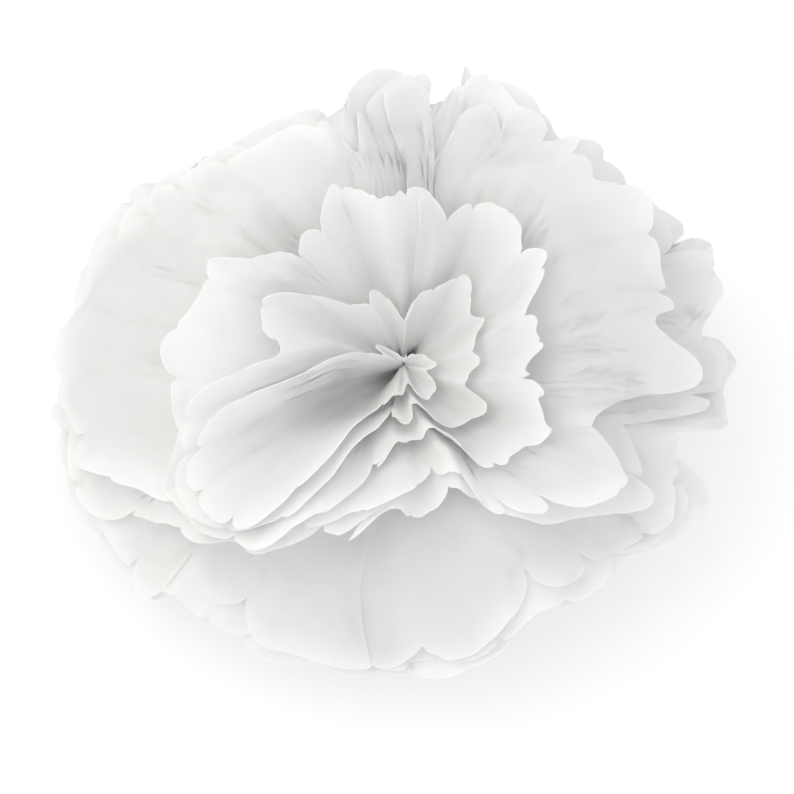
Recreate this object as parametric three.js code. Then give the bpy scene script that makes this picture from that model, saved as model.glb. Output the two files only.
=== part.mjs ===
// A flower of eight sheets of white tissue paper, in millimetres, +Z up, lying on its pleats.
// The sheets are stacked, folded together into an accordion of 16 panels and tied across the middle.
// The ends of the folded strip are cut round, so every panel ends in a scallop on both sides of the tie.
// Each half then opens into a fan, and the sheets are pulled up one after the other into petals.
import * as THREE from 'three';

// The paper
const PANELS = 16;
const PANEL_WIDTH = 25;
const REACH = 125;
const SCALLOP = 4.5;
const PAPER = 0.3;

// The waist, where the tie gathers the strip
const PITCH = 0.65;
const WAIST = 3;
const ROOT = 10;
const WIRE = 0.5;
const WIRE_CLEAR = 0.33;
const WIRE_AWAY = 5.3;

// The angle that a half fan covers beside the tie and half way out, and the turn of the two seams
const SPAN_ROOT = 152;
const SPAN_MID = 181;
const OPENED = 55;
const TURN = -7;

// Pleats: the share of a panel's width that they are deep, where they have eased, the half angle that is left
// at the rim, how far below the tie they reach, and the angle from upright within which they flatten
const PLEAT_SHARE = 0.65;
const PLEAT_EASE = 72;
const PLEAT_RIM = 1;
const PLEAT_DROP = 13;
const PLEAT_UPRIGHT = 80;

// The heart leans toward the front by this angle, and every sheet above the knee follows it
const LEAN = 20;
const LEAN_KNEE = 60;

// The heart is ruffled: all the sheets together open outward in a few uneven lobes, each given by its share,
// its turns round the flower and its start in degrees. They begin at one rise, are full at the next, and
// ease upright.
const RUFFLE = 13;
const RUFFLE_FROM = 48;
const RUFFLE_FULL = 76;
const RUFFLE_EASE = 0.7;
const LOBES = [
  { share: 0.5, turns: 4, start: 230 },
  { share: 0.25, turns: 7, start: 20 },
  { share: 0.25, turns: 13, start: 100 },
];

// How a petal curves from its angle at the root to its angle at the rim, and how far it bows up between them
const CURVE = 1.6;
const BOW = 4;

// Below its rim a sheet lies close to the next one: it takes a share of the room between them that is more
// than what has to be kept. It gets there by this distance from the tie, and falls to its rim over a length
// that grows with the room between the rims.
const BOW_SHARE = 0.85;
const BOW_KEEP = 2.5;
const BOW_FULL = 60;
const FALL = 10;
const FALL_SHARE = 1;

// How much the folds' ends keep to even steps along the rim, where 0 follows the length of the rim alone
const EVEN_SHARE = 0.9;

// Beside a seam the two halves of the sheets lie between each other, over this angle
const SEAM_REACH = 24;
const SEAM_SHARE = 0.25;
const SEAM_MOST = 5;

// Rows of the mesh between the root and the rim, as distances from the tie
const ROWS = [18, 42, 76, 104];

// For each sheet, outermost first: its angle at the root, the angle that its half fans cover at the rim,
// how far they slide to the front there, how far its seams turn there, and its rise in degrees at the rim.
// The rises go once round the flower in even steps, from the front by the right and the rear to the left.
const FRONT = -90;
const PETALS = [
  { root: -6, span: 179, slide: 1.2, turn: 0, rise: [
    18, 17.5, 23, 21, 22, 20, 17, 11, 6, 3, 1, 0, 0, 0, 0,
    0, -4, -3, -4, -3, -1, 1, 4, 5, 8, 6, 3, 8, 9, 11] },
  { root: 5, span: 179, slide: 1.2, turn: 5, rise: [
    21, 20.5, 26, 24, 25, 23, 20, 14, 9, 7, 6, 5, 5, 5, 5,
    5, 1, 2, 1, 3, 4, 4, 7, 8, 11, 9, 6, 11, 12, 14] },
  { root: 16, span: 179, slide: 1.2, turn: 0, rise: [
    24, 23.5, 29, 27, 28, 26, 23, 17, 18, 22, 34, 36, 38.5, 41, 45,
    42, 49, 46.5, 44, 36, 24, 14, 10, 11, 14, 12, 9, 14, 15, 17] },
  { root: 27, span: 179, slide: 0, turn: -5, rise: [
    64.5, 64.5, 62, 50, 33, 28.5, 25.5, 19.5, 20.5, 24.5, 36.5, 38.5, 41, 43.5, 47.5,
    44.5, 51.5, 49, 46.5, 39, 27, 16.5, 12.5, 13.5, 16.5, 15, 26, 42, 54, 61] },
  { root: 38, span: 184, slide: 0, turn: 4, rise: [
    68.5, 68.5, 65, 55, 38, 31.5, 28, 22, 23, 27, 39, 41, 43.5, 46, 50,
    47, 54, 51.5, 49.5, 42, 30, 19, 15, 16, 19.5, 24, 38, 48, 58, 65] },
  { root: 49, span: 184, slide: 0, turn: -4, rise: [
    76, 75, 73, 71, 68, 67, 73, 75, 75, 73, 67, 69, 72, 73, 70,
    67, 71, 68, 69, 73, 67, 59, 50.5, 51, 51, 47, 49.5, 57, 66.5, 72.5] },
  { root: 60, span: 184, slide: 0, turn: 5, rise: [
    83, 83.5, 82, 80, 79, 77.5, 80, 80.5, 80, 78, 77, 79, 80.5, 81, 81,
    82, 82.5, 81.5, 81.5, 82, 79, 75, 69, 68.5, 66, 55, 57, 66, 75.5, 81.5] },
  { root: 71, span: 184, slide: 0, turn: -3, rise: [
    87, 87.5, 87, 85.5, 86, 86.5, 86.5, 85.5, 84.5, 84.5, 86, 87, 87, 87.5, 87.5,
    87.5, 87.5, 87.5, 87.5, 87.5, 86.5, 86, 86, 86, 81, 68, 70, 80, 86, 87] },
];
const SHEETS = PETALS.length;

const DEG = Math.PI / 180;
const UPRIGHT = 90;

function smooth(t) {
  const c = Math.min(1, Math.max(0, t));
  return c * c * (3 - 2 * c);
}

// The value at an angle of a list that goes once round the flower
function around(list, degrees) {
  const place = ((((degrees - FRONT) / 360) % 1) + 1) % 1 * list.length;
  const i = Math.floor(place);
  const here = list[i % list.length];
  const next = list[(i + 1) % list.length];
  return here + (next - here) * (place - i);
}

// Half the angle between a pleat's ridge and its valley at this distance from the tie
function pleat(rho) {
  const deepest = Math.atan2((PLEAT_SHARE * PANEL_WIDTH) / 2, ROWS[1]) / DEG;
  const eased = 1 - smooth((rho - ROWS[1]) / (PLEAT_EASE - ROWS[1]));
  return (PLEAT_RIM + (deepest - PLEAT_RIM) * eased) * smooth(rho / ROWS[0]);
}

// Ridges at the even folds and valleys at the odd ones, with straight panels between them
function zigzag(k) {
  const m = ((k % 2) + 2) % 2;
  return m < 1 ? 1 - 2 * m : 2 * m - 3;
}

// Distance from the tie to the cut end at a place along the accordion
function cutEnd(k) {
  const q = 2 * (k - Math.floor(k)) - 1;
  return REACH - SCALLOP * (1 - Math.sqrt(Math.max(0, 1 - q * q)));
}

function stackHeight(s) {
  return (s - (SHEETS - 1) / 2) * PITCH;
}

function rootRadius(s) {
  return ROOT - PITCH * s;
}

// How far a point is from the opened pleats to the rim, from 0 to 1
function outward(rho) {
  return smooth((rho - ROWS[1]) / (REACH - ROWS[1]));
}

// The angle round the flower of the seams of sheet s, in degrees
function seam(s, rho) {
  return TURN + PETALS[s].turn * outward(rho);
}

// The angle round the flower at a share of the way along a half fan, in degrees
function fanAngle(s, side, share, rho) {
  const { span, slide } = PETALS[s];
  const out = outward(rho);
  const opened = SPAN_ROOT + (SPAN_MID - SPAN_ROOT) * smooth(rho / OPENED);
  const swing = (share - 0.5) * (opened + (span - SPAN_MID) * out) - slide * out;
  return side > 0 ? seam(s, rho) + swing : seam(s, rho) + 180 - swing;
}

// How near a place is to a seam, from 1 on it to 0 well away from it
function nearSeam(s, degrees, rho) {
  const away = Math.abs(((((degrees - seam(s, rho)) % 180) + 180) % 180) - 90);
  return 1 - smooth(away / SEAM_REACH);
}

// The rise of a sheet's rim, with the right half's sheets lifted and the left half's lowered at the seams
function rimRise(s, side, degrees, near) {
  const here = around(PETALS[s].rise, degrees);
  const next = PETALS[s + side];
  const room = next ? Math.min(SEAM_MOST, Math.abs(around(next.rise, degrees) - here)) : SEAM_MOST;
  return here + side * SEAM_SHARE * room * near;
}

// How far the ruffled heart opens at an angle round the flower, from 0 to 1
function lobe(degrees) {
  let total = 0;
  LOBES.forEach(({ share, turns, start }) => {
    total += share * Math.sin((turns * degrees + start) * DEG);
  });
  return (1 + total) / 2;
}

// The direction of a petal from the tie, with the heart ruffled and leaning to the front
function direction(degrees, rise) {
  const begun = smooth((rise - RUFFLE_FROM) / (RUFFLE_FULL - RUFFLE_FROM));
  const eased = 1 - RUFFLE_EASE * smooth((rise - RUFFLE_FULL) / (UPRIGHT - RUFFLE_FULL));
  const ruffled = rise - RUFFLE * lobe(degrees) * begun * eased;
  const theta = degrees * DEG;
  const phi = ruffled * DEG;
  const lean = LEAN * DEG * smooth(ruffled / LEAN_KNEE);
  const y = Math.cos(phi) * Math.sin(theta);
  const z = Math.sin(phi);
  return new THREE.Vector3(
    Math.cos(phi) * Math.cos(theta),
    y * Math.cos(lean) - z * Math.sin(lean),
    y * Math.sin(lean) + z * Math.cos(lean),
  );
}

// Where the folds end along the rim of a half sheet, as shares of its fan, so that the panels end about as
// wide as each other wherever the rim rises and falls
function foldEnds(s, side) {
  const steps = PANELS * 20;
  const lengths = [0];
  let last = null;
  for (let i = 0; i <= steps; i += 1) {
    const degrees = fanAngle(s, side, i / steps, REACH);
    const here = direction(degrees, rimRise(s, side, degrees, nearSeam(s, degrees, REACH)));
    if (last) {
      const level = EVEN_SHARE * (Math.PI / steps);
      lengths.push(lengths[i - 1] + here.distanceTo(last) + level);
    }
    last = here;
  }
  const ends = [];
  let i = 0;
  for (let k = 0; k <= PANELS; k += 1) {
    const wanted = (lengths[steps] * k) / PANELS;
    while (i + 1 < steps && lengths[i + 1] < wanted) {
      i += 1;
    }
    ends.push((i + (wanted - lengths[i]) / (lengths[i + 1] - lengths[i])) / steps);
  }
  return ends;
}

const FOLD_ENDS = PETALS.map((petal, s) => ({ 1: foldEnds(s, 1), '-1': foldEnds(s, -1) }));

// The angle round the flower of a place along the accordion, in degrees
function azimuth(s, side, k, rho) {
  const ends = FOLD_ENDS[s][side];
  const i = Math.min(PANELS - 1, Math.floor(k));
  const end = ends[i] + (ends[i + 1] - ends[i]) * (k - i);
  return fanAngle(s, side, k / PANELS + (end - k / PANELS) * outward(rho), rho);
}

// The rise of sheet s on its way from the root to the rim, before it lies close to the next one
function curvedRise(s, side, degrees, rho, near) {
  const rim = rimRise(s, side, degrees, near);
  const out = rho / REACH;
  return rim + (PETALS[s].root - rim) * (1 - out) ** CURVE + BOW * Math.sin(Math.PI * out);
}

// The rise of sheet s without its pleats
function petalRise(s, side, degrees, rho, near) {
  const here = curvedRise(s, side, degrees, rho, near);
  if (s + 1 === SHEETS) {
    return here;
  }
  const room = BOW_SHARE * Math.max(0, petalRise(s + 1, side, degrees, rho, near) - here - BOW_KEEP);
  const fall = FALL + FALL_SHARE * (rimRise(s + 1, side, degrees, near) - rimRise(s, side, degrees, near));
  return here + room * smooth(rho / BOW_FULL) * smooth((REACH - rho) / fall);
}

// A point of sheet s on one side, at place k along the accordion and at distance rho from the tie
function sheetPoint(s, side, k, rho) {
  const degrees = azimuth(s, side, k, rho);
  const near = nearSeam(s, degrees, rho);
  const bowed = petalRise(s, side, degrees, rho, near);
  const flattened = (1 - near * smooth(rho / ROWS[1])) * smooth((UPRIGHT - bowed) / PLEAT_UPRIGHT);
  const rise = bowed + pleat(rho) * zigzag(k) * flattened;
  const start = rootRadius(s);
  const base = azimuth(s, side, k, start) * DEG;
  const point = new THREE.Vector3(start * Math.cos(base), start * Math.sin(base), stackHeight(s));
  point.addScaledVector(direction(degrees, rise), rho - start);
  if (s === 0) {
    point.z = Math.max(point.z, -PLEAT_DROP);
  }
  return point;
}

// The middle of sheet s where the tie crosses it
function waistPoint(s, k) {
  const across = WAIST * (2 * (k / PANELS) - 1);
  return new THREE.Vector3(-across * Math.sin(TURN * DEG), across * Math.cos(TURN * DEG), stackHeight(s));
}

// The points and triangles of one sheet's middle surface
function sheetSurface(s) {
  const points = [];
  const triangles = [];
  const row = (steps, make) => {
    const list = [];
    for (let i = 0; i <= PANELS * steps; i += 1) {
      points.push(make(i / steps));
      list.push(points.length - 1);
    }
    return list;
  };
  const join = (inner, outer, side) => {
    const ratio = (outer.length - 1) / (inner.length - 1);
    const add = (a, b, c) => triangles.push(side > 0 ? [a, b, c] : [a, c, b]);
    for (let i = 0; i + 1 < inner.length; i += 1) {
      const half = i * ratio + Math.floor(ratio / 2);
      for (let j = i * ratio; j < half; j += 1) {
        add(inner[i], outer[j], outer[j + 1]);
      }
      add(inner[i], outer[half], inner[i + 1]);
      for (let j = half; j < (i + 1) * ratio; j += 1) {
        add(inner[i + 1], outer[j], outer[j + 1]);
      }
    }
  };
  const waist = row(1, (k) => waistPoint(s, k));
  for (const side of [1, -1]) {
    let last = waist;
    const distances = [rootRadius(s), ...ROWS];
    distances.forEach((rho, i) => {
      const next = row(i + 1 < distances.length ? 1 : 2, (k) => sheetPoint(s, side, k, rho));
      join(last, next, side);
      last = next;
    });
    join(last, row(4, (k) => sheetPoint(s, side, k, cutEnd(k))), side);
  }
  return { points, triangles };
}

// A closed solid of the paper's thickness about a surface
function thicken({ points, triangles }) {
  const normals = points.map(() => new THREE.Vector3());
  const edges = new Map();
  triangles.forEach(([a, b, c]) => {
    [[a, b, c], [b, c, a], [c, a, b]].forEach(([v, p, q]) => {
      const toP = points[p].clone().sub(points[v]);
      const toQ = points[q].clone().sub(points[v]);
      const corner = toP.angleTo(toQ);
      normals[v].addScaledVector(toP.cross(toQ).normalize(), corner);
    });
    [[a, b], [b, c], [c, a]].forEach(([p, q]) => {
      const turned = `${q},${p}`;
      if (edges.has(turned)) {
        edges.delete(turned);
      } else {
        edges.set(`${p},${q}`, [p, q]);
      }
    });
  });
  const shifted = (way) => points.map((p, i) => {
    return p.clone().addScaledVector(normals[i].clone().normalize(), (way * PAPER) / 2);
  });
  const upper = shifted(1);
  const lower = shifted(-1);
  const corners = [];
  const face = (a, b, c) => [a, b, c].forEach((p) => corners.push(p.x, p.y, p.z));
  triangles.forEach(([a, b, c]) => {
    face(upper[a], upper[b], upper[c]);
    face(lower[a], lower[c], lower[b]);
  });
  edges.forEach(([p, q]) => {
    face(upper[q], upper[p], lower[p]);
    face(upper[q], lower[p], lower[q]);
  });
  const geometry = new THREE.BufferGeometry();
  geometry.setAttribute('position', new THREE.Float32BufferAttribute(corners, 3));
  geometry.computeVertexNormals();
  return geometry;
}

// A ring of thin wire round the waist, through the two seams of the fans
function tieGeometry() {
  const top = stackHeight(SHEETS - 1) + PAPER / 2 + WIRE_CLEAR + WIRE;
  const loop = [];
  for (const [across, up] of [[1, 0], [1, 0.72], [0.72, 1], [0, 1], [-0.72, 1], [-1, 0.72]]) {
    loop.push([across * WIRE_AWAY, up * top]);
  }
  const turned = loop.map(([across, up]) => [-across, -up]);
  const path = [...loop, ...turned].map(([across, up]) => {
    return new THREE.Vector3(-across * Math.sin(TURN * DEG), across * Math.cos(TURN * DEG), up);
  });
  const curve = new THREE.CatmullRomCurve3(path, true, 'centripetal');
  return new THREE.TubeGeometry(curve, 36, WIRE, 8, true);
}

const paper = new THREE.MeshStandardMaterial({ name: 'tissue', color: 0xf6f6f3, roughness: 0.9 });
const metal = new THREE.MeshStandardMaterial({ name: 'wire', color: 0xe4e4e0, roughness: 0.5 });

const flower = new THREE.Group();
for (let s = 0; s < SHEETS; s += 1) {
  const sheet = new THREE.Mesh(thicken(sheetSurface(s)), paper);
  sheet.name = `sheet_${s + 1}`;
  flower.add(sheet);
}
const tie = new THREE.Mesh(tieGeometry(), metal);
tie.name = 'tie';
flower.add(tie);

// The lowest folds lie on the table, and the origin is under the middle of the flower
const box = new THREE.Box3().setFromObject(flower);
const centre = box.getCenter(new THREE.Vector3());
flower.children.forEach((mesh) => mesh.geometry.translate(-centre.x, -centre.y, -box.min.z));

export default flower;
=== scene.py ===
# A flower of eight white tissue sheets, folded as an accordion, tied at the waist and pulled into petals
import math

import bpy
import numpy as np
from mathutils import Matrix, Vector


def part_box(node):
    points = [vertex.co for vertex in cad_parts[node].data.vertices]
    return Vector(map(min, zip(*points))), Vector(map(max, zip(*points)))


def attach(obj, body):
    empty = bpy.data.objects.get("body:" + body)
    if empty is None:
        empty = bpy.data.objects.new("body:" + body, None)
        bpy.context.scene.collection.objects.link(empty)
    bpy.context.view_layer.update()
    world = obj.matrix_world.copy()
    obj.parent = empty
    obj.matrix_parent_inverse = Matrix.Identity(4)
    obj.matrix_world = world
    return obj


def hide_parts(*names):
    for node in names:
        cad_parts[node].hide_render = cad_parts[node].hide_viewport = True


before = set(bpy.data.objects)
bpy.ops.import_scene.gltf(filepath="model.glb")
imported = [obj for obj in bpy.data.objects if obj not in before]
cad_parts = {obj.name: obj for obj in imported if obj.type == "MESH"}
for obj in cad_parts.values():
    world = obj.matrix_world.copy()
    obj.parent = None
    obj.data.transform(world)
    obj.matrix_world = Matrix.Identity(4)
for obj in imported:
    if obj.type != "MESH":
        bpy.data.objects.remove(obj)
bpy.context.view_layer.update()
MM = 0.001

# The paper, in millimetres: the number of panels, a panel's width, half a sheet's width, the scallops' depth
# and how soon they are full where the rim opens, and the thickness
PANELS = 16
PANEL_WIDTH = 25
REACH = 125
SCALLOP = 4.5
SCALLOP_ROOM = 0.95
PAPER = 0.24

# The ends were cut by hand: each notch is deeper or shallower by a share, and the cut wanders by this
# much, in waves of so many turns along the strip
NOTCH = (0.05, 1.25)
TRIM = 5
TRIM_TURNS = (2, 7)
CUT_SEED = 500

# Where the lower sheets' rims are tucked in: how many sheets from below, degrees round the flower, half
# the width in degrees, and how far
TUCKS = [
    (5, 81.5, 2.5, 10), (5, 103, 5, 6), (5, 56, 3, 5), (5, 39, 4, 5), (5, 2, 5, 8), (5, -22, 11, 9),
    (5, -66, 4, 3), (5, -128, 4, 5), (2, 10, 9, 9), (2, 103, 6, 5), (2, 124, 10, 6),
]

# The waist, where the tie gathers the strip
PITCH = 0.65
WAIST = 3
ROOT = 10

# The angle that a half fan covers beside the tie and half way out, where that is, and the turn of the fans
SPAN_ROOT = 152
SPAN_MID = 181
OPENED = 55
TURN = -7

# Pleats: the share of a panel's width that they are deep, where they are deepest and where they have
# eased, the half angle that is left at the rim, the length over which they begin, how far they hang below
# the tie, the angle over which they flatten upright, and how crisp the folds are
PLEAT_SHARE = 0.65
PLEAT_FROM = 42
PLEAT_EASE = 72
PLEAT_RIM = 0.4
PLEAT_START = 18
PLEAT_DROP = 13
PLEAT_UPRIGHT = 80
PLEAT_CRISP = 0.97

# The heart leans toward the front, and the sheets above the knee follow it
LEAN = 20
LEAN_KNEE = 60

# The heart is ruffled: all the sheets together open outward in a few uneven lobes, each given as a share,
# turns round the flower and a start in degrees. They begin at one rise, are full at the next, ease
# upright, and are gone over the last few degrees.
RUFFLE = 13
RUFFLE_FROM = 48
RUFFLE_FULL = 76
RUFFLE_EASE = 0.7
RUFFLE_CLOSE = 2.5
LOBES = [(0.5, 4, 230), (0.3, 7, 20), (0.2, 13, 100)]

# The heart is dished: its petals are crumpled shorter, from this rise on and by this share upright
DISH = 0.32
DISH_FROM = 58

# How a petal curves from its root to its rim, and how it bows up between them: by a fixed angle, and by a
# share of the room under the next sheet that is more than what is kept, from which it falls to its rim
# over a length that grows with that room
CURVE = 1.6
BOW = 4
BOW_SHARE = 0.95
BOW_KEEP = 1.5
BOW_FULL = 60
FALL = 10
FALL_SHARE = 0.85

# Upright paper closes over the tie, between these rises
CLOSE_FROM = 55
CLOSE_FULL = 80

# The innermost sheet closes to this rise, and the length over which it falls to its rim grows by this share
FUNNEL = 89.5
FUNNEL_SHARE = 0.75

# How much the folds' ends keep to even steps along the rim, where 0 follows the length of the rim alone,
# and the steps in a panel with which that length is measured
EVEN_SHARE = 0.9
RIM_SAMPLES = 60

# Beside a seam the two halves of the sheets lie between each other: within so many degrees of it, by a share
# of the gap to the next sheet, of which at most so many degrees count
SEAM_REACH = 9
SEAM_SHARE = 0.25
SEAM_MOST = 1.2

# For each sheet, outermost first: angle at the root, angle of a half fan at the rim, slide to the front,
# turn of the seams, and the rise of the rim once round from the front by the right and the rear to the
# left
FRONT = -90
PETALS = [
    dict(root=-6, span=183, slide=2.7, turn=0, rise=[
        18, 17, 24, 18, 16, 18, 18, 12, 6, 3, -4, -5, -5, -5, -5,
        -5, -5, -5, -5, -3, -1, 1, 4, 5, 8, 6, 3, 8, 9, 11]),
    dict(root=5, span=183, slide=2.7, turn=5, rise=[
        19.5, 18.5, 25.5, 19.5, 17.5, 19.5, 19.5, 13.5, 7.5, 4.5, -2.5, -3.5, -3.5, -3.5, -3.5,
        -3.5, -3.5, -3.5, -3.5, -1.5, 0.5, 2.5, 5.5, 6.5, 9.5, 7.5, 4.5, 9.5, 10.5, 12.5]),
    dict(root=16, span=184, slide=0.5, turn=0, rise=[
        21, 20, 27, 21, 19, 21, 21, 15, 18, 22, 30, 30, 33, 34, 38,
        38, 51, 49, 47, 38, 25, 14, 7, 8, 11, 9, 6, 11, 12, 14]),
    dict(root=27, span=190, slide=0, turn=-5, rise=[
        66.5, 66.5, 63, 50, 32, 29, 26, 20, 19.5, 23.5, 31.5, 31.5, 34.5, 35.5, 39.5,
        39.5, 52.5, 50.5, 48.5, 39.5, 26.5, 15.5, 8.5, 9.5, 12.5, 10.5, 34, 44.5, 56, 63]),
    dict(root=38, span=190, slide=0, turn=4, rise=[
        68.5, 68.5, 65, 55, 42, 40, 40, 40, 42, 39, 42, 41, 40, 37, 41,
        41, 54, 52, 50, 41, 28, 17, 10, 11, 14, 28, 42, 46, 58, 65]),
    dict(root=49, span=192, slide=0, turn=-4, rise=[
        76, 75, 73, 71, 68, 67, 70, 70, 71, 70, 67, 68, 70, 73, 70,
        67, 71, 69, 69, 73, 67, 59, 50.5, 51, 50.5, 46, 43.5, 47.5, 62, 72.5]),
    dict(root=60, span=194, slide=0, turn=5, rise=[
        79.5, 80, 79.5, 78.5, 79, 77.5, 79, 79, 79.5, 78, 77, 79, 80.5, 81, 81,
        82, 82.5, 81.5, 81.5, 82, 79, 75, 69, 68.5, 55, 47.5, 45, 49.5, 73, 79.5]),
    dict(root=71, span=200, slide=0, turn=-3, rise=[
        84, 85, 84.5, 84, 84.5, 85, 86, 85.5, 85, 86.5, 87.5, 88.5, 89, 89.3, 89.3,
        89.3, 89.3, 89.3, 89.3, 89, 88.5, 87.5, 86.5, 86, 70, 50, 47.5, 53.5, 82, 84]),
]
SHEETS = len(PETALS)

# The grid of a sheet: columns in a panel, and rows from the root to the rim
COLUMNS = 12
ROWS = 46

# The rim's rise round the flower is a line of so many steps, softened over so many degrees
RING = 1440
RING_SOFT = 4.0

# Each sheet waves by itself, within a share of the room to its neighbours. So many waves are added up, each
# drifts by up to so many half turns on its way out, and the sum is pressed flat. They begin at one distance
# from the tie, are full at the next, and ease over the last degrees upright.
WAVE_SEED = 100
WAVE_COUNT = 6
WAVE_DRIFT = 1.5
WAVE_PRESS = 0.7
WAVE_SHARE = 0.44
WAVE_FROM = 25
WAVE_FULL = 80
WAVE_UPRIGHT = 35

# Turns of the waves in a sheet's face and at its rim, and the rim's width and its part of the whole
FACE_TURNS = (4, 13)
RIM_TURNS = (14, 34)
RIM_WIDTH = 28
RIM_PART = 0.3

# The room for the waves, in degrees: the most that counts, the room inside the heart and the rise at which
# it ends, and the room under the lowest sheet
ROOM_MOST = 9
ROOM_INSIDE = 8
RISE_MOST = 89
ROOM_BELOW = 2.5

# All the sheets sway together, in long waves and in short ones, more the higher they are, and each is
# crumpled a little by itself
SWAY_SEED = 5
SWAYS = [(1.5, (45, 95)), (0.3, (20, 44))]
SWAY_WAVES = 9
SWAY_FULL = 30
CRUMPLE_SEED = 300
CRUMPLE = 0.42
CRUMPLE_LENGTHS = (13, 34)
CRUMPLE_WAVES = 7

# Edges that turn by more than this are sharp, in degrees, and no normal is divided by less than the next
SHARP = 50
TINY = 1e-12

# The tissue's colour where it is dense and where it is thin, the part of the cloud noise in which it
# changes, the share of light that goes through, its roughness and its sheen
PAPER_DENSE = (0.972, 0.973, 0.968)
PAPER_THIN = (0.992, 0.992, 0.988)
PAPER_CLOUDS = (0.3, 0.7)
LIGHT_THROUGH = 0.6
PAPER_ROUGH = 0.88
PAPER_SHEEN = 0.25

# Its clouds, dents and fibres: the noise's scale in turns per metre, its detail and its roughness, and
# for dents and fibres how strong they are and how deep in millimetres
CLOUD_NOISE = (120, 4, 0.65)
DENT_NOISE = (160, 3, 0.55)
DENT_STRENGTH = 0.35
DENT_DEPTH = 0.4
FIBRE_NOISE = (1500, 2, 0.6)
FIBRE_STRENGTH = 0.25
FIBRE_DEPTH = 0.06

# The wire's colour and roughness where it is dull and where it is bright, and its wear's scale in turns
# per metre
WIRE_DULL = (0.6, 0.6, 0.59)
WIRE_BRIGHT = (0.82, 0.82, 0.8)
WIRE_ROUGH = (0.5, 0.25)
WIRE_WEAR = 400

# The photograph's frame and its view of the tie
PHOTO = 794
TIE_PIXEL = (399, 393)
PIXELS_PER_MM = 2.78
CAMERA_AWAY = 1.0
CAMERA_RISE = 60
SENSOR = 36.0

# The room's light and the lamp: their colours, and the lamp's power in watts, its width and its place in
# metres
ROOM_LIGHT = 1.02
ROOM_COLOUR = (0.962, 0.975, 0.992)
KEY_LIGHT = 6
KEY_COLOUR = (1, 0.97, 0.85)
KEY_SIZE = 1.4
KEY_PLACE = (-0.75, -0.1, 1.2)

# The floor's width in metres, and how much of it the camera sees as plain white
FLOOR_SIZE = 8
FLOOR_WHITE = 0.6


def smooth(t):
    """A soft step from 0 to 1."""
    c = np.clip(t, 0, 1)
    return c * c * (3 - 2 * c)


def soft_ring(values):
    """The rim's rise at even steps round the flower, as a soft line that keeps the sheets' order."""
    places = np.arange(RING) / RING * len(values)
    line = np.interp(places, np.arange(len(values) + 1), values + values[:1])
    steps = np.arange(-RING // 2, RING // 2) * 360 / RING
    kernel = np.exp(-0.5 * (steps / RING_SOFT) ** 2)
    spread = np.fft.fft(np.fft.ifftshift(kernel / kernel.sum()))
    return np.fft.ifft(np.fft.fft(line) * spread).real


RISES = [soft_ring(petal["rise"]) for petal in PETALS]


def around(ring, degrees):
    """The value of a ring at any place round the flower."""
    place = ((degrees - FRONT) / 360 % 1) * RING
    return np.interp(place, np.arange(RING + 1), np.append(ring, ring[0]))


def pleat(rho):
    """Half the angle that a pleat is deep, at a distance from the tie."""
    deepest = math.degrees(math.atan2(PLEAT_SHARE * PANEL_WIDTH / 2, PLEAT_FROM))
    eased = 1 - smooth((rho - PLEAT_FROM) / (PLEAT_EASE - PLEAT_FROM))
    return (PLEAT_RIM + (deepest - PLEAT_RIM) * eased) * smooth(rho / PLEAT_START)


def zigzag(k):
    """Ridges at the even folds and valleys at the odd ones, a little rounded."""
    return np.arcsin(PLEAT_CRISP * np.cos(np.pi * k)) / math.asin(PLEAT_CRISP)


def cut_end(s, side, k):
    """Distance from the tie to the cut end: uneven scallops, shallow where the rim is gathered."""
    random = np.random.default_rng(CUT_SEED + 2 * s + (side > 0))
    notches = random.uniform(*NOTCH, size=PANELS + 1)
    q = 2 * (k - np.floor(k)) - 1
    notch = notches[(np.floor(k) + (q > 0)).astype(int)] * (1 - np.sqrt(np.maximum(0, 1 - q * q)))
    room = smooth(np.interp(k, np.arange(PANELS) + 0.5, RIM_STEPS[s][side]) / PANEL_WIDTH * SCALLOP_ROOM)
    trim = 0.5 + 0.5 * waves(random, k * 360 / PANELS, np.zeros_like(k), TRIM_TURNS)
    degrees = azimuth(s, side, k, np.full_like(k, REACH))
    tuck = np.zeros_like(k)
    for sheets, middle, width, depth in TUCKS:
        away = (degrees - middle + 180) % 360 - 180
        tuck += depth * np.exp(-(away / width) ** 2) * (s < sheets)
    return REACH - (SCALLOP * notch + TRIM * trim) * room - tuck


def stack_height(s):
    """The height of sheet s in the stack, from the middle of the tie."""
    return (s - (SHEETS - 1) / 2) * PITCH


def root_radius(s):
    """The distance from the tie's middle at which sheet s leaves the stack."""
    return ROOT - PITCH * s


def outward(rho):
    """How far a place is on its way from the pleats to the rim, from 0 to 1."""
    return smooth((rho - PLEAT_FROM) / (REACH - PLEAT_FROM))


def seam(s, rho):
    """The heading of the middle of a sheet's first half, in degrees."""
    return TURN + PETALS[s]["turn"] * outward(rho)


def fan_angle(s, side, share, rho):
    """The azimuth of a share of a half fan, at a distance from the tie."""
    out = outward(rho)
    opened = SPAN_ROOT + (SPAN_MID - SPAN_ROOT) * smooth(rho / OPENED)
    swing = (share - 0.5) * (opened + (PETALS[s]["span"] - SPAN_MID) * out) - PETALS[s]["slide"] * out
    return seam(s, rho) + swing if side > 0 else seam(s, rho) + 180 - swing


def near_seam(s, degrees, rho):
    """1 where the two halves of a sheet meet, and 0 away from there."""
    away = np.abs((degrees - seam(s, rho)) % 180 - 90)
    return 1 - smooth(away / SEAM_REACH)


def rim_rise(s, side, degrees, near):
    """The rise of a rim, with the two halves kept apart where they meet."""
    here = around(RISES[s], degrees)
    if 0 <= s + side < SHEETS:
        room = np.minimum(SEAM_MOST, np.abs(around(RISES[s + side], degrees) - here))
    else:
        room = SEAM_MOST
    return here + side * SEAM_SHARE * room * near


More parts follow.
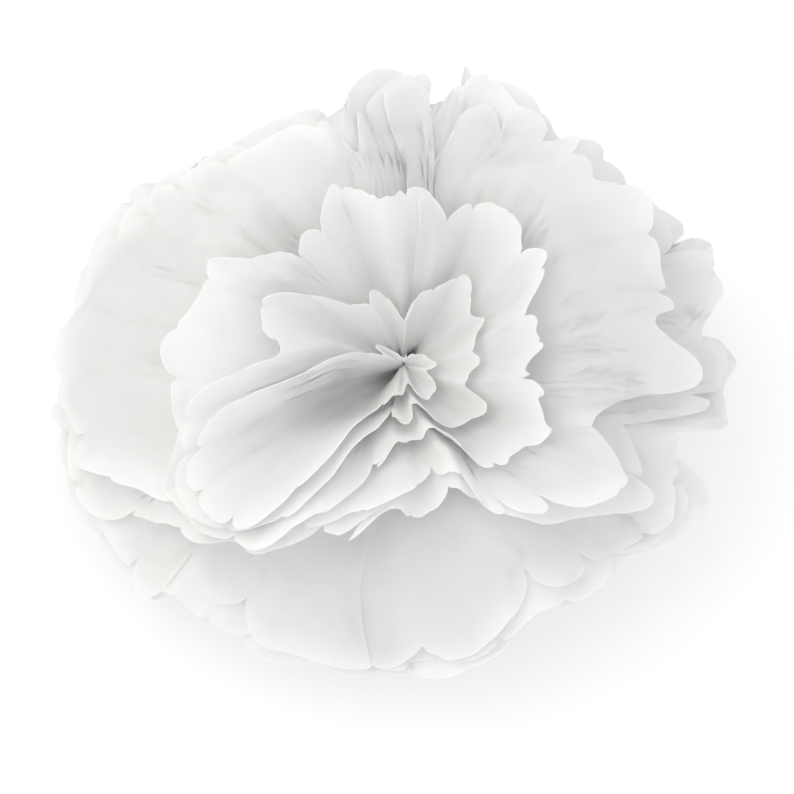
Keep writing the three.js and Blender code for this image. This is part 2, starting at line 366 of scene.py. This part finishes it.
def direction(degrees, rise):
    """The way out from the tie at an azimuth and a rise, ruffled and leaned."""
    swings = (share * np.sin(np.radians(turns * degrees + start)) for share, turns, start in LOBES)
    lobe = 0.5 + 0.5 * sum(swings)
    eased = 1 - RUFFLE_EASE * smooth((rise - RUFFLE_FULL) / (90 - RUFFLE_FULL))
    eased *= smooth((90 - rise) / RUFFLE_CLOSE)
    ruffled = rise - RUFFLE * lobe * smooth((rise - RUFFLE_FROM) / (RUFFLE_FULL - RUFFLE_FROM)) * eased
    theta, phi = np.radians(degrees), np.radians(ruffled)
    lean = math.radians(LEAN) * smooth(ruffled / LEAN_KNEE)
    y, z = np.cos(phi) * np.sin(theta), np.sin(phi)
    return np.stack([
        np.cos(phi) * np.cos(theta),
        y * np.cos(lean) - z * np.sin(lean),
        y * np.sin(lean) + z * np.cos(lean),
    ], axis=-1)


def fold_ends(s, side):
    """Where the folds end along the rim, so that panels end about as wide as each other."""
    shares = np.linspace(0, 1, PANELS * RIM_SAMPLES + 1)
    degrees = fan_angle(s, side, shares, REACH)
    ways = direction(degrees, rim_rise(s, side, degrees, near_seam(s, degrees, REACH)))
    steps = np.linalg.norm(np.diff(ways, axis=0), axis=1) + EVEN_SHARE * math.pi / (PANELS * RIM_SAMPLES)
    lengths = np.concatenate([[0], np.cumsum(steps)])
    return np.interp(np.arange(PANELS + 1) / PANELS * lengths[-1], lengths, shares)


FOLD_ENDS = [{side: fold_ends(s, side) for side in (1, -1)} for s in range(SHEETS)]


def rim_steps(s, side):
    """The length of the rim in each panel."""
    degrees = fan_angle(s, side, FOLD_ENDS[s][side], REACH)
    ways = direction(degrees, rim_rise(s, side, degrees, near_seam(s, degrees, REACH)))
    return REACH * np.linalg.norm(np.diff(ways, axis=0), axis=1)


RIM_STEPS = [{side: rim_steps(s, side) for side in (1, -1)} for s in range(SHEETS)]


def azimuth(s, side, k, rho):
    """The azimuth of place k along the accordion, at a distance from the tie."""
    end = np.interp(k, np.arange(PANELS + 1), FOLD_ENDS[s][side])
    return fan_angle(s, side, k / PANELS + (end - k / PANELS) * outward(rho), rho)


def curved_rise(s, side, degrees, rho, near):
    """The rise of a sheet that curves from its root to its rim, before it bows up to the next one."""
    rim = rim_rise(s, side, degrees, near)
    curved = rim + (PETALS[s]["root"] - rim) * np.maximum(0, 1 - rho / REACH) ** CURVE
    return curved + BOW * np.sin(np.pi * rho / REACH)


def petal_rise(s, side, degrees, rho, near):
    """The rise of a sheet between its root and its rim, without pleats and waves."""
    here = curved_rise(s, side, degrees, rho, near)
    rim = rim_rise(s, side, degrees, near)
    if s + 1 == SHEETS:
        room, fall = FUNNEL - here, FALL + FUNNEL_SHARE * (FUNNEL - rim)
    else:
        room = BOW_SHARE * np.maximum(0, petal_rise(s + 1, side, degrees, rho, near) - here - BOW_KEEP)
        fall = FALL + FALL_SHARE * (rim_rise(s + 1, side, degrees, near) - rim)
    return here + room * smooth(rho / BOW_FULL) * smooth((REACH - rho) / fall)


def waves(random, degrees, rho, turns):
    """Soft waves round the flower, from -1 to 1, that drift a little on their way out."""
    total = np.zeros_like(degrees)
    for _ in range(WAVE_COUNT):
        count = random.integers(*turns)
        drift, phase = random.uniform(-WAVE_DRIFT, WAVE_DRIFT), random.uniform(0, 2 * math.pi)
        total += np.sin(count * np.radians(degrees) + drift * rho / REACH * math.pi + phase)
    return np.tanh(total * WAVE_PRESS)


def wave_rise(s, side, degrees, rho, near, here):
    """How far a sheet's own waves lift it, within the room to its neighbours."""
    if s + 1 < SHEETS:
        above = petal_rise(s + 1, side, degrees, rho, near)
    else:
        above = np.minimum(here + ROOM_INSIDE, RISE_MOST)
    below = petal_rise(s - 1, side, degrees, rho, near) if s > 0 else here - ROOM_BELOW
    random = np.random.default_rng(WAVE_SEED + s)
    face = waves(random, degrees, rho, FACE_TURNS)
    rim = waves(random, degrees, rho, RIM_TURNS) * smooth((rho - REACH + RIM_WIDTH) / RIM_WIDTH)
    wave = WAVE_SHARE * ((1 - RIM_PART) * face + RIM_PART * rim)
    room = np.clip(np.where(wave > 0, above - here, here - below), 0, ROOM_MOST)
    upright = smooth((90 - here) / WAVE_UPRIGHT)
    return wave * room * upright * smooth((rho - WAVE_FROM) / (WAVE_FULL - WAVE_FROM)) * (1 - near)


def sheet_points(s, side, k, rho):
    """Points of sheet s on one side, at places k along the accordion and distances rho from the tie."""
    degrees = azimuth(s, side, k, rho)
    near = near_seam(s, degrees, rho)
    bowed = petal_rise(s, side, degrees, rho, near)
    flattened = (1 - near * smooth(rho / PLEAT_FROM)) * smooth((90 - bowed) / PLEAT_UPRIGHT)
    rise = bowed + pleat(rho) * zigzag(k) * flattened + wave_rise(s, side, degrees, rho, near, bowed)
    start = root_radius(s)
    base = np.radians(azimuth(s, side, k, np.full_like(rho, start)))
    closed = start * (1 - smooth(rho / BOW_FULL) * smooth((rise - CLOSE_FROM) / (CLOSE_FULL - CLOSE_FROM)))
    height = np.full_like(base, stack_height(s))
    foot = np.stack([closed * np.cos(base), closed * np.sin(base), height], axis=-1)
    length = (rho - start) * (1 - DISH * smooth((rise - DISH_FROM) / (90 - DISH_FROM)))
    points = foot + direction(degrees, rise) * length[..., None]
    return sway(points)


def plane_waves(random, points, count, lengths):
    """Waves of random lengths and headings through space, one row of each."""
    heading = random.normal(size=(count, 3))
    heading /= np.linalg.norm(heading, axis=1)[:, None]
    pace = 2 * math.pi / random.uniform(*lengths, size=count)
    return points @ (heading * pace[:, None]).T + random.uniform(0, 2 * math.pi, size=count)


def sway(points):
    """A soft sway that all the sheets share, so that none crosses another."""
    random = np.random.default_rng(SWAY_SEED)
    moved = points.copy()
    away = np.linalg.norm(points, axis=-1)
    lifted = smooth(away / REACH) * smooth((points[..., 2] + PLEAT_DROP) / SWAY_FULL)
    for amount, lengths in SWAYS:
        for axis in range(3):
            wave = np.sin(plane_waves(random, points, SWAY_WAVES, lengths)).sum(axis=-1)
            moved[..., axis] += amount * wave * lifted
    return moved


def crumple(s, points, normals):
    """Small flat facets with creases between them, pressed into the paper along its normals."""
    random = np.random.default_rng(CRUMPLE_SEED + s)
    wave = np.abs(np.sin(plane_waves(random, points, CRUMPLE_WAVES, CRUMPLE_LENGTHS) / 2)).sum(axis=-1)
    depth = CRUMPLE * smooth((np.linalg.norm(points, axis=-1) - PLEAT_START) / WAVE_FULL)
    return points + normals * ((wave - CRUMPLE_WAVES * 2 / math.pi) * depth)[:, None]


def waist_points(s, k):
    """Points of sheet s under the tie, at places k along the accordion."""
    across = WAIST * (2 * k / PANELS - 1)
    turn = math.radians(TURN)
    height = np.full_like(k, stack_height(s))
    return np.stack([-across * math.sin(turn), across * math.cos(turn), height], axis=-1)


def sheet_surface(s):
    """The points and quads of one sheet's middle surface: the waist row, then the rows of each half."""
    k = np.linspace(0, PANELS, PANELS * COLUMNS + 1)
    start = root_radius(s)
    shares = np.linspace(0, 1, ROWS)[:, None]
    places = np.broadcast_to(k, (ROWS, len(k)))
    width = len(k)
    points = [waist_points(s, k)[None]]
    quads = []
    for number, side in enumerate((1, -1)):
        rho = start + (cut_end(s, side, k)[None, :] - start) * shares
        points.append(sheet_points(s, side, places, rho))
        first = width * (1 + ROWS * number)
        rows = [np.arange(width)] + [first + width * r + np.arange(width) for r in range(ROWS)]
        for inner, outer in zip(rows, rows[1:]):
            ring = [inner[:-1], outer[:-1], outer[1:], inner[1:]]
            quads.append(np.stack(ring if side > 0 else ring[::-1], axis=1))
    return np.concatenate([p.reshape(-1, 3) for p in points]), np.concatenate(quads)


def point_normals(points, quads):
    """The normal at each point, from the quads round it."""
    a, b, c, d = (points[quads[:, i]] for i in range(4))
    facing = np.cross(c - a, d - b)
    normals = np.zeros_like(points)
    for i in range(4):
        np.add.at(normals, quads[:, i], facing)
    return normals / np.maximum(np.linalg.norm(normals, axis=1), TINY)[:, None]


def paper_mesh(name, points, quads):
    """A closed solid of the paper's thickness about a surface, in metres."""
    normals = point_normals(points, quads)
    count = len(points)
    both = np.concatenate([points + normals * PAPER / 2, points - normals * PAPER / 2])
    starts, ends = quads.reshape(-1), np.roll(quads, -1, axis=1).reshape(-1)
    open_edge = ~np.isin(starts * count + ends, ends * count + starts)
    p, q = starts[open_edge], ends[open_edge]
    faces = np.concatenate([
        quads,
        quads[:, ::-1] + count,
        np.stack([q, p, p + count, q + count], axis=1),
    ])
    mesh = bpy.data.meshes.new(name)
    mesh.vertices.add(len(both))
    mesh.vertices.foreach_set("co", (both * MM).astype(np.float32).ravel())
    mesh.loops.add(faces.size)
    mesh.loops.foreach_set("vertex_index", faces.astype(np.int32).ravel())
    mesh.polygons.add(len(faces))
    mesh.polygons.foreach_set("loop_start", np.arange(0, faces.size, 4, dtype=np.int32))
    mesh.update(calc_edges=True)
    mesh.validate()
    mesh.polygons.foreach_set("use_smooth", np.ones(len(faces), dtype=bool))
    mesh.set_sharp_from_angle(angle=math.radians(SHARP))
    return mesh


def tissue_material():
    """Thin white tissue that lets much of the light through: cloudy, with fine fibres and soft dents."""
    material = bpy.data.materials.new("tissue")
    material.use_nodes = True
    tree = material.node_tree
    link = tree.links.new
    place = tree.nodes.new("ShaderNodeTexCoord").outputs["Object"]

    def noise(scale, detail, rough):
        node = tree.nodes.new("ShaderNodeTexNoise")
        node.inputs["Scale"].default_value = scale
        node.inputs["Detail"].default_value = detail
        node.inputs["Roughness"].default_value = rough
        link(place, node.inputs["Vector"])
        return node.outputs["Fac"]

    def bump(kind, strength, depth):
        node = tree.nodes.new("ShaderNodeBump")
        node.inputs["Strength"].default_value = strength
        node.inputs["Distance"].default_value = depth * MM
        link(noise(*kind), node.inputs["Height"])
        return node

    cloud = tree.nodes.new("ShaderNodeValToRGB")
    stops = zip(cloud.color_ramp.elements, PAPER_CLOUDS, (PAPER_DENSE, PAPER_THIN))
    for stop, position, colour in stops:
        stop.position = position
        stop.color = (*colour, 1)
    link(noise(*CLOUD_NOISE), cloud.inputs["Fac"])
    dents = bump(DENT_NOISE, DENT_STRENGTH, DENT_DEPTH)
    fibres = bump(FIBRE_NOISE, FIBRE_STRENGTH, FIBRE_DEPTH)
    link(dents.outputs["Normal"], fibres.inputs["Normal"])
    paper = tree.nodes["Principled BSDF"]
    paper.inputs["Roughness"].default_value = PAPER_ROUGH
    paper.inputs["Specular IOR Level"].default_value = PAPER_SHEEN
    through = tree.nodes.new("ShaderNodeBsdfTranslucent")
    mix = tree.nodes.new("ShaderNodeMixShader")
    mix.inputs["Fac"].default_value = LIGHT_THROUGH
    link(cloud.outputs["Color"], paper.inputs["Base Color"])
    link(cloud.outputs["Color"], through.inputs["Color"])
    link(fibres.outputs["Normal"], paper.inputs["Normal"])
    link(fibres.outputs["Normal"], through.inputs["Normal"])
    link(paper.outputs["BSDF"], mix.inputs[1])
    link(through.outputs["BSDF"], mix.inputs[2])
    link(mix.outputs["Shader"], tree.nodes["Material Output"].inputs["Surface"])
    return material


def wire_material():
    """Thin plain steel wire, drawn and a little dulled."""
    material = bpy.data.materials.new("wire")
    material.use_nodes = True
    tree = material.node_tree
    wear = tree.nodes.new("ShaderNodeTexNoise")
    wear.inputs["Scale"].default_value = WIRE_WEAR
    colour = tree.nodes.new("ShaderNodeValToRGB")
    colour.color_ramp.elements[0].color = (*WIRE_DULL, 1)
    colour.color_ramp.elements[1].color = (*WIRE_BRIGHT, 1)
    gloss = tree.nodes.new("ShaderNodeMapRange")
    gloss.inputs["To Min"].default_value = WIRE_ROUGH[0]
    gloss.inputs["To Max"].default_value = WIRE_ROUGH[1]
    steel = tree.nodes["Principled BSDF"]
    steel.inputs["Metallic"].default_value = 1
    tree.links.new(wear.outputs["Fac"], colour.inputs["Fac"])
    tree.links.new(wear.outputs["Fac"], gloss.inputs["Value"])
    tree.links.new(colour.outputs["Color"], steel.inputs["Base Color"])
    tree.links.new(gloss.outputs["Result"], steel.inputs["Roughness"])
    return material


def make_tie():
    """The tie keeps its solid and is shown as wire."""
    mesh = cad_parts["tie"].data
    mesh.materials.clear()
    mesh.materials.append(wire_material())


def make_sheets():
    """The eight sheets, each in place of its solid. Gives the middle of the tie, in metres."""
    low, high = (Vector(corner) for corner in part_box("tie"))
    middle = np.array((low + high) / 2) / MM
    tissue = tissue_material()
    for s in range(SHEETS):
        points, quads = sheet_surface(s)
        points = crumple(s, points, point_normals(points, quads))
        points[:, 2] = np.maximum(points[:, 2], PAPER / 2 - middle[2])
        name = f"tissue_sheet_{s + 1}"
        piece = bpy.data.objects.new(name, paper_mesh(name, points + middle, quads))
        piece.data.materials.append(tissue)
        bpy.context.scene.collection.objects.link(piece)
        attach(piece, "root")
        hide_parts(f"sheet_{s + 1}")
    return Vector(middle) * MM


def make_floor():
    """A white floor; the camera sees it nearly white, with the flower's soft shadow."""
    material = bpy.data.materials.new("floor")
    material.use_nodes = True
    tree = material.node_tree
    shader = tree.nodes["Principled BSDF"]
    shader.inputs["Base Color"].default_value = (1, 1, 1, 1)
    shader.inputs["Roughness"].default_value = 1
    shader.inputs["Specular IOR Level"].default_value = 0
    white = tree.nodes.new("ShaderNodeEmission")
    rays = tree.nodes.new("ShaderNodeLightPath")
    seen = rays.outputs["Is Camera Ray"]
    for kind in ("Is Glossy Ray", "Is Transmission Ray"):
        either = tree.nodes.new("ShaderNodeMath")
        either.operation = "MAXIMUM"
        tree.links.new(seen, either.inputs[0])
        tree.links.new(rays.outputs[kind], either.inputs[1])
        seen = either.outputs["Value"]
    share = tree.nodes.new("ShaderNodeMath")
    share.operation = "MULTIPLY"
    share.inputs[1].default_value = FLOOR_WHITE
    mix = tree.nodes.new("ShaderNodeMixShader")
    tree.links.new(seen, share.inputs[0])
    tree.links.new(share.outputs["Value"], mix.inputs["Fac"])
    tree.links.new(shader.outputs["BSDF"], mix.inputs[1])
    tree.links.new(white.outputs["Emission"], mix.inputs[2])
    tree.links.new(mix.outputs["Shader"], tree.nodes["Material Output"].inputs["Surface"])
    bpy.ops.mesh.primitive_plane_add(size=FLOOR_SIZE)
    floor = bpy.context.object
    floor.name = "floor"
    floor.data.materials.append(material)


def make_camera(tie):
    """The photograph's view, with the tie at its pixel there."""
    data = bpy.data.cameras.new("camera")
    camera = bpy.data.objects.new("camera", data)
    bpy.context.scene.collection.objects.link(camera)
    rise = math.radians(CAMERA_RISE)
    camera.location = tie + CAMERA_AWAY * Vector((0, -math.cos(rise), math.sin(rise)))
    camera.rotation_euler = (math.pi / 2 - rise, 0, 0)
    data.sensor_width = SENSOR
    data.lens = SENSOR * PIXELS_PER_MM * CAMERA_AWAY / MM / PHOTO
    data.shift_x = (PHOTO / 2 - TIE_PIXEL[0]) / PHOTO
    data.shift_y = -(PHOTO / 2 - TIE_PIXEL[1]) / PHOTO
    bpy.context.scene.camera = camera


def make_light():
    """A white room that fills the shade, and one large soft lamp high on the left."""
    world = bpy.data.worlds.new("studio")
    bpy.context.scene.world = world
    world.use_nodes = True
    background = world.node_tree.nodes["Background"]
    background.inputs["Color"].default_value = (*ROOM_COLOUR, 1)
    background.inputs["Strength"].default_value = ROOM_LIGHT
    lamp = bpy.data.lights.new("key", "AREA")
    lamp.energy = KEY_LIGHT
    lamp.size = KEY_SIZE
    lamp.color = KEY_COLOUR
    key = bpy.data.objects.new("key", lamp)
    bpy.context.scene.collection.objects.link(key)
    key.location = KEY_PLACE
    key.rotation_euler = (-key.location).to_track_quat("-Z", "Y").to_euler()


TIE = make_sheets()
make_tie()
make_floor()
make_camera(TIE)
make_light()
bpy.context.scene.view_settings.view_transform = "Standard"
